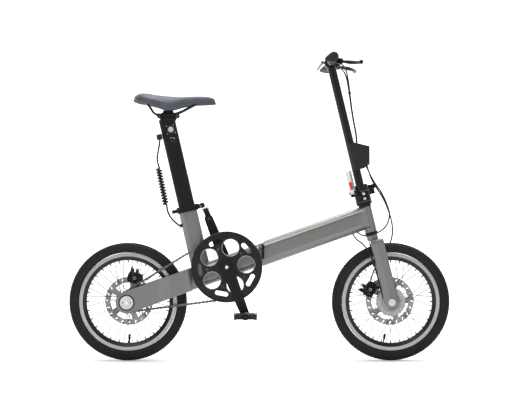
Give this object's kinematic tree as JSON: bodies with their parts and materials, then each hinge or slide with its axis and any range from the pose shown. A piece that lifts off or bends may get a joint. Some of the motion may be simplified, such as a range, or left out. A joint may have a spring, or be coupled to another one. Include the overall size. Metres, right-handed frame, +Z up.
{
  "type": "folding bicycle",
  "caption": "Electric-assist folding bicycle with a hinged main beam, folding stem, sliding battery seat post, disc brakes and chain drive.",
  "frame": {"origin": "on the ground, midway between the axles, on the centre plane", "axes": "+X forward, +Y to the rider's left, +Z up"},
  "size_m": [1.26, 0.566, 1.0064],
  "materials": {
    "frame_paint": "satin warm grey metallic",
    "black_metal": "satin black anodised",
    "silver": "satin",
    "steel": "brushed",
    "tyre": "matte",
    "rubber": "matte",
    "plastic": "matte",
    "saddle_skin": "soft satin"
  },
  "bodies": {
    "rear_frame": {"rear_beam": "frame_paint", "rear_arms": "frame_paint", "seat_tube": "frame_paint", "frame_pins": "steel", "seat_clamp_collar": "black_metal", "rear_axle": "steel", "axle_caps": "silver", "rear_caliper": "black_metal", "chain": "steel", "lead_gland": "rubber"},
    "seat_post": {"seat_post_tube": "black_metal", "battery_pack": "plastic", "seat_post_head": "black_metal", "saddle_rails": "black_metal", "saddle_base": "plastic", "saddle_cover": "saddle_skin", "battery_plug": "plastic", "battery_lead": "rubber", "battery_coil": "rubber"},
    "power_button": {"power_button": "silver"},
    "seat_clamp_lever": {"seat_clamp_lever": "black_metal"},
    "crankset": {"chainring": "black_metal", "chain_guards": "black_metal", "crank_arms": "black_metal", "spindles": "steel"},
    "right_pedal": {"right_pedal": "plastic"},
    "left_pedal": {"left_pedal": "plastic"},
    "rear_wheel": {"rear_tyre": "tyre", "rear_rim": "silver", "rear_spokes": "steel", "rear_hub": "black_metal", "rear_rotor": "steel", "rear_sprocket": "steel"},
    "front_frame": {"front_beam": "frame_paint", "headset_cups": "black_metal", "motor_cable": "rubber"},
    "frame_latch": {"frame_latch_lever": "black_metal"},
    "fork": {"fork_crown": "frame_paint", "fork_legs": "frame_paint", "stem_hinge_lower": "black_metal", "front_axle": "steel", "front_caliper": "black_metal"},
    "front_wheel": {"front_tyre": "tyre", "front_rim": "silver", "front_spokes": "steel", "motor_hub": "silver", "front_rotor": "steel"},
    "stem": {"stem_post": "black_metal", "cable_box": "plastic", "bar_clamp": "black_metal", "upper_cables": "rubber", "rear_brake_cable": "rubber", "front_brake_cable": "rubber"},
    "stem_latch": {"stem_latch_lever": "silver"},
    "bar_clamp_lever": {"bar_clamp_lever": "silver"},
    "handlebar": {"handlebar": "black_metal", "grips": "rubber", "brake_perches": "black_metal"},
    "right_brake_lever": {"right_brake_lever": "black_metal"},
    "left_brake_lever": {"left_brake_lever": "black_metal"}
  },
  "joints": [
    {"name": "main_fold", "type": "hinge", "parent": "rear_frame", "child": "front_frame", "pos_m": [0.012, 0.036, 0.354], "axis": [0, 0, -1], "range_deg": [-130, 0]},
    {"name": "steering", "type": "hinge", "parent": "front_frame", "child": "fork", "pos_m": [0.36042, 0, 0.46711], "axis": [-0.2334, 0, 0.9724], "range_deg": [-45, 45], "deforming": ["rear_brake_cable", "motor_cable"]},
    {"name": "stem_fold", "type": "hinge", "parent": "fork", "child": "stem", "pos_m": [0.36388, 0.02828, 0.57386], "axis": [-0.6876, 0.7071, -0.1651], "range_deg": [0, 155], "deforming": ["front_brake_cable", "rear_brake_cable"]},
    {"name": "bar_rotate", "type": "hinge", "parent": "stem", "child": "handlebar", "pos_m": [0.23576, 0, 0.98635], "axis": [0, 1, 0], "range_deg": [-30, 30], "deforming": ["upper_cables"]},
    {"name": "seat_height", "type": "slide", "parent": "rear_frame", "child": "seat_post", "axis": [-0.225, 0, 0.9744], "range_m": [-0.16, 0.015], "deforming": ["battery_lead", "battery_coil"]},
    {"name": "rear_wheel_spin", "type": "hinge", "parent": "rear_frame", "child": "rear_wheel", "pos_m": [-0.435, 0, 0.195], "axis": [0, 1, 0], "continuous": true, "deforming": ["chain"]},
    {"name": "crank_spin", "type": "hinge", "parent": "rear_frame", "child": "crankset", "pos_m": [-0.10743, 0, 0.311], "axis": [0, 1, 0], "continuous": true, "deforming": ["chain"]},
    {"name": "front_wheel_spin", "type": "hinge", "parent": "fork", "child": "front_wheel", "pos_m": [0.435, 0, 0.195], "axis": [0, 1, 0], "continuous": true},
    {"name": "right_pedal_spin", "type": "hinge", "parent": "crankset", "child": "right_pedal", "pos_m": [-0.0454, 0, 0.15272], "axis": [0, 1, 0], "continuous": true},
    {"name": "left_pedal_spin", "type": "hinge", "parent": "crankset", "child": "left_pedal", "pos_m": [-0.16946, 0, 0.46928], "axis": [0, 1, 0], "continuous": true},
    {"name": "frame_latch_turn", "type": "hinge", "parent": "rear_frame", "child": "frame_latch", "pos_m": [0.012, -0.035, 0.382], "axis": [-1, 0, 0], "range_deg": [0, 100]},
    {"name": "stem_latch_turn", "type": "hinge", "parent": "fork", "child": "stem_latch", "pos_m": [0.31027, -0.02828, 0.55482], "axis": [0.6876, -0.7071, 0.1651], "range_deg": [0, 110]},
    {"name": "seat_clamp_turn", "type": "hinge", "parent": "rear_frame", "child": "seat_clamp_lever", "pos_m": [-0.19012, 0, 0.51345], "axis": [0.225, 0, -0.9744], "range_deg": [0, 110]},
    {"name": "bar_clamp_turn", "type": "hinge", "parent": "stem", "child": "bar_clamp_lever", "pos_m": [0.20876, 0, 0.98635], "axis": [0, 1, 0], "range_deg": [0, 70]},
    {"name": "power_button_press", "type": "slide", "parent": "seat_post", "child": "power_button", "axis": [0, 1, 0], "range_m": [0, 0.0012], "stiffness_N_per_m": 400},
    {"name": "right_brake", "type": "hinge", "parent": "handlebar", "child": "right_brake_lever", "pos_m": [0.26547, -0.128, 0.98218], "axis": [-0.1392, 0, -0.9903], "range_deg": [0, 22], "stiffness_Nm_per_rad": 2},
    {"name": "left_brake", "type": "hinge", "parent": "handlebar", "child": "left_brake_lever", "pos_m": [0.26547, 0.128, 0.98218], "axis": [0.1392, 0, 0.9903], "range_deg": [0, 22], "stiffness_Nm_per_rad": 2}
  ],
  "couplings": [
    {"joint": "crank_spin", "follows": "rear_wheel_spin", "ratio": 0.30769}
  ]
}
